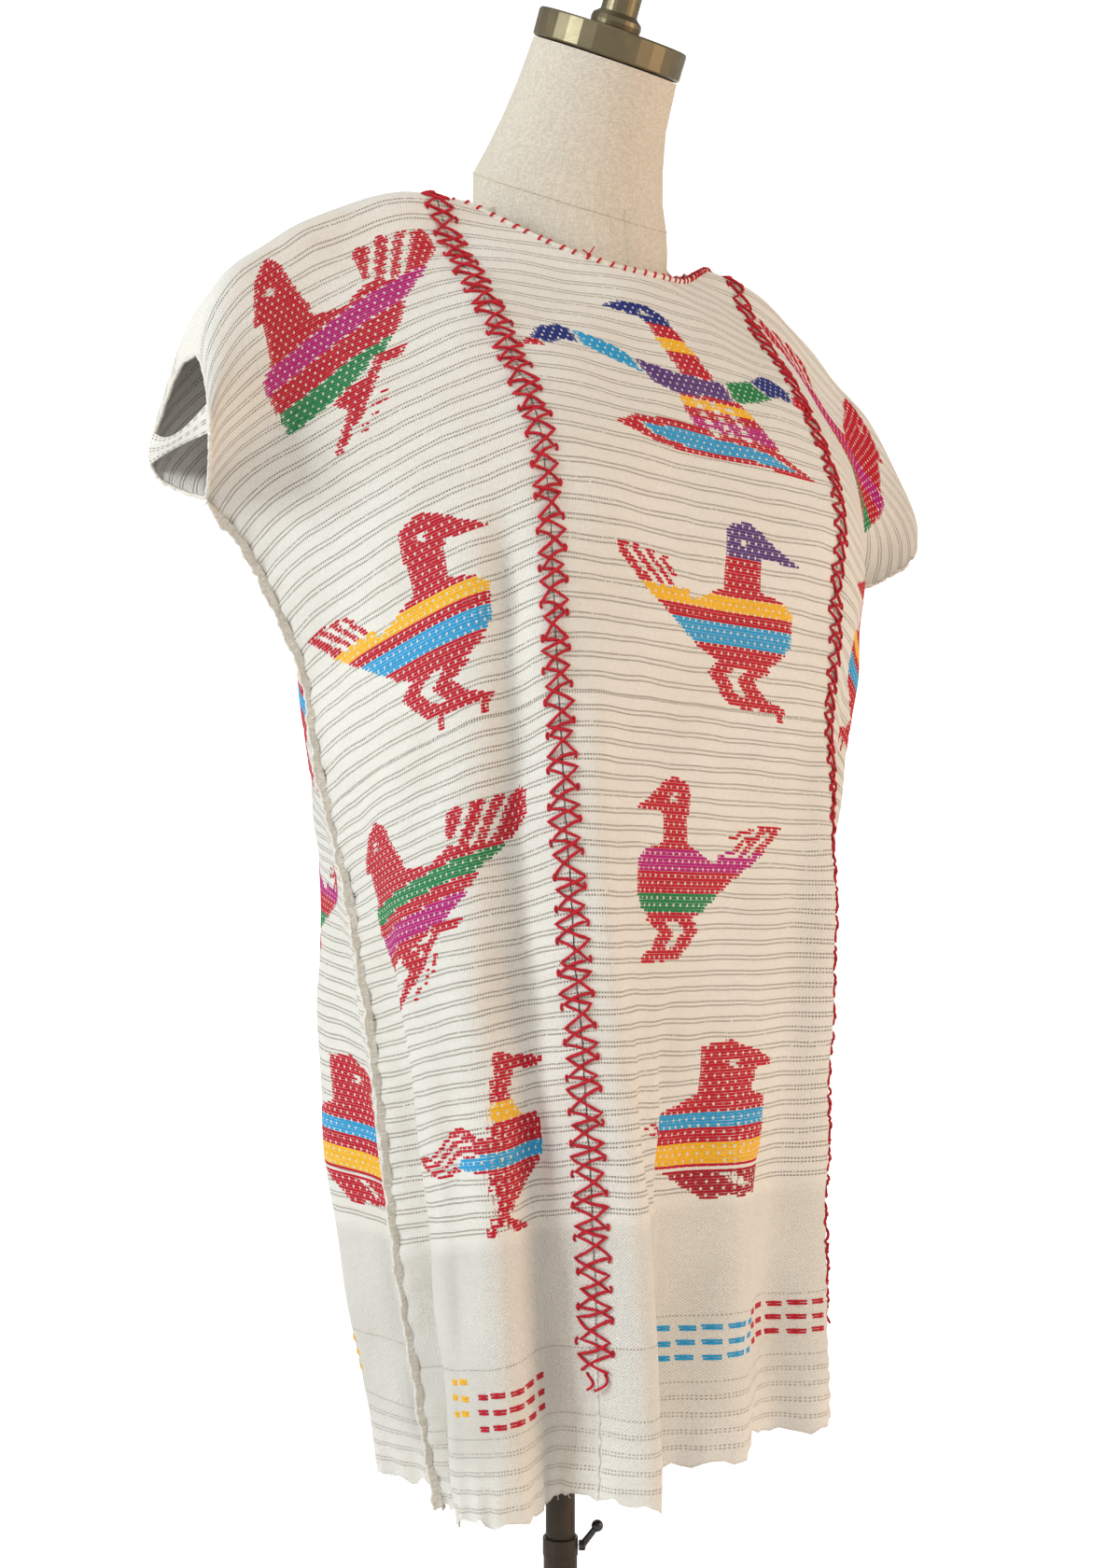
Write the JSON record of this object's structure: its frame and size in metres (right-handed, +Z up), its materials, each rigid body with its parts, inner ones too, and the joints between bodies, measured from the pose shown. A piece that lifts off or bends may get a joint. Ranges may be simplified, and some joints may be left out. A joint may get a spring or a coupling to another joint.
{
  "type": "huipil blouse on a limbless dress form with a stand",
  "caption": "Hand-woven cotton huipil blouse with lattice-stitched seams, worn on a linen dress form on a height-adjustable bronze stand.",
  "frame": {"origin": "on the floor, at the pole's axis under the base", "axes": "+Z up along the pole; -Y is the front of the blouse and -X the wearer's right"},
  "size_m": [0.629, 0.3499, 1.5934],
  "materials": {
    "cream cotton": "hand-woven cotton, matt",
    "red thread": "twisted cotton thread, matt",
    "linen": "plain linen over a padded form, matt",
    "antique bronze": "dark antique bronze, brushed",
    "black enamel": "glossy black"
  },
  "bodies": {
    "stand": {"stand_base": "antique bronze", "outer_tube": "antique bronze"},
    "lever": {"clamp_lever": "black enamel"},
    "mast": {"mast": "antique bronze"},
    "figure": {"form_socket": "antique bronze", "form_torso": "linen", "neck_cap": "antique bronze", "finial": "antique bronze", "panel_centre": "cream cotton", "panel_right": "cream cotton", "panel_left": "cream cotton", "neck_edge": "cream cotton", "randa_right": "red thread", "randa_left": "red thread", "side_seam_right": "cream cotton", "side_seam_left": "cream cotton"}
  },
  "joints": [
    {"name": "height", "type": "slide", "parent": "stand", "child": "mast", "axis": [0, 0, 1], "range_m": [-0.05, 0.12]},
    {"name": "turn", "type": "hinge", "parent": "mast", "child": "figure", "pos_m": [0, 0, 0.66], "axis": [0, 0, 1], "continuous": true},
    {"name": "clamp", "type": "hinge", "parent": "stand", "child": "lever", "pos_m": [0.0118, -0.0084, 0.409], "axis": [0.8141, -0.5807, 0], "continuous": true}
  ]
}
